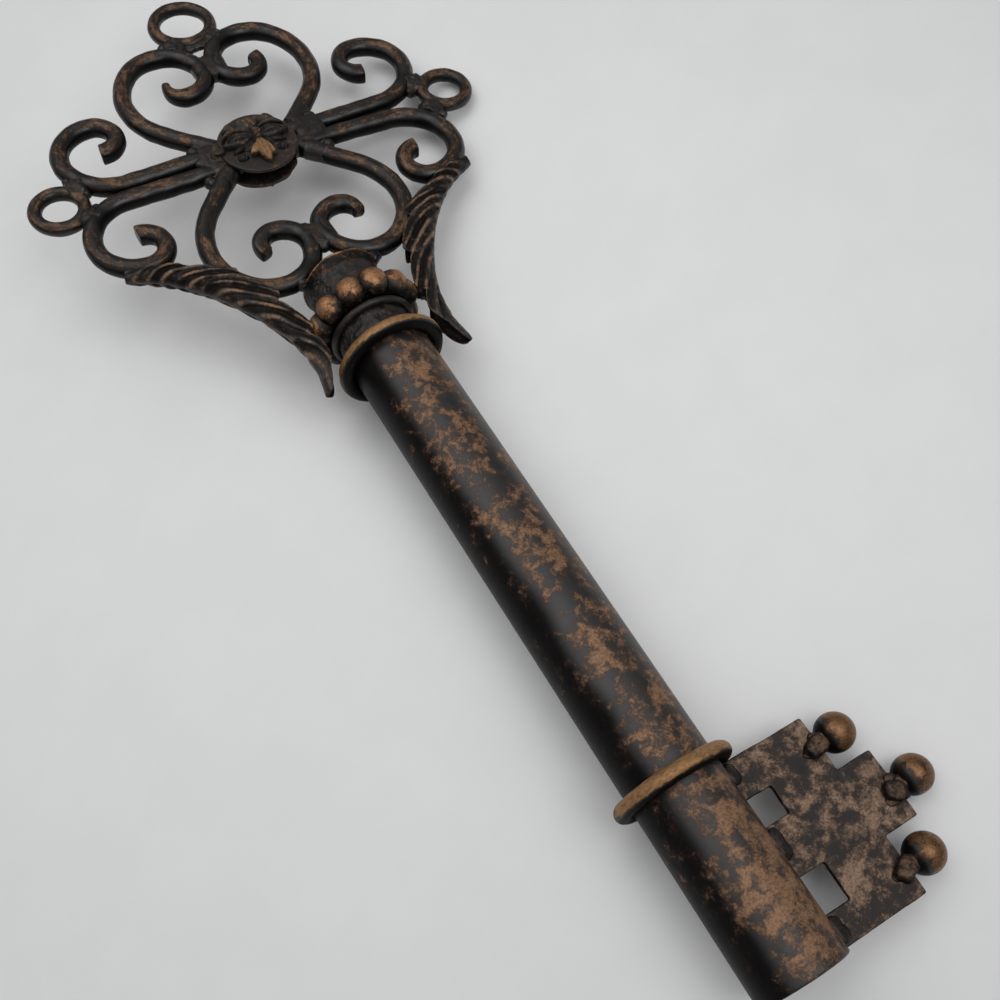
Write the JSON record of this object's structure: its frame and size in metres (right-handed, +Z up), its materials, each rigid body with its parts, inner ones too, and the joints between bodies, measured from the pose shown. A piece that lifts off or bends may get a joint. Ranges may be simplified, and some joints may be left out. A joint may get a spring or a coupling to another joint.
{
  "type": "decorative skeleton key",
  "caption": "Large welded skeleton key: tube shaft with stepped plate bit and balls, beaded collar, and a bow of bent rod scrolls, leaves, medallion and hanging rings.",
  "frame": {"origin": "centre of the shaft tube's open end, on the tube's axis", "axes": "+Y along the shaft to the bow, +Z up from the table that the key lies on, +X towards the bit; the bow and the bit plate lean 13.6 degrees down towards +X, because the key rests on its beads and its middle ball"},
  "size_m": [0.1987, 0.4948, 0.0542],
  "materials": {
    "mottled_bronze": "satin, sponged copper brown over near black",
    "rubbed_copper": "satin, rubbed to copper on the high spots",
    "rubbed_leaf": "satin, copper on the ribs and dark in the grooves",
    "dark_bronze": "satin, near black brown",
    "scroll_bronze": "satin, near black brown with worn copper along the top",
    "blackened_weld": "satin, near black"
  },
  "bodies": {
    "root": {"shaft_tube": "mottled_bronze", "lower_shaft_ring": "rubbed_copper", "upper_shaft_ring": "rubbed_copper", "head_spigot": "dark_bronze", "thin_collar_ring": "dark_bronze", "bead_band": "rubbed_copper", "collar_rim": "dark_bronze", "collar_cap": "dark_bronze", "upper_right_heart_scroll": "scroll_bronze", "upper_left_heart_scroll": "scroll_bronze", "lower_right_heart_scroll": "scroll_bronze", "lower_left_heart_scroll": "scroll_bronze", "upper_right_side_scroll": "scroll_bronze", "upper_left_side_scroll": "scroll_bronze", "lower_right_side_scroll": "scroll_bronze", "lower_left_side_scroll": "scroll_bronze", "top_hanging_ring": "scroll_bronze", "right_ring": "scroll_bronze", "left_ring": "scroll_bronze", "front_disc": "dark_bronze", "rear_disc": "dark_bronze", "front_rosette": "rubbed_leaf", "rear_rosette": "rubbed_leaf", "centre_rivet": "dark_bronze", "right_leaf": "rubbed_leaf", "left_leaf": "rubbed_leaf", "bit_plate": "mottled_bronze", "lower_ball": "rubbed_copper", "middle_ball": "rubbed_copper", "upper_ball": "rubbed_copper", "lower_ball_stem": "blackened_weld", "middle_ball_stem": "blackened_weld", "upper_ball_stem": "blackened_weld", "junction_welds": "blackened_weld", "heart_welds": "blackened_weld", "ring_welds": "blackened_weld", "collar_welds": "blackened_weld", "leaf_welds": "blackened_weld", "bit_welds": "blackened_weld"}
  },
  "joints": []
}
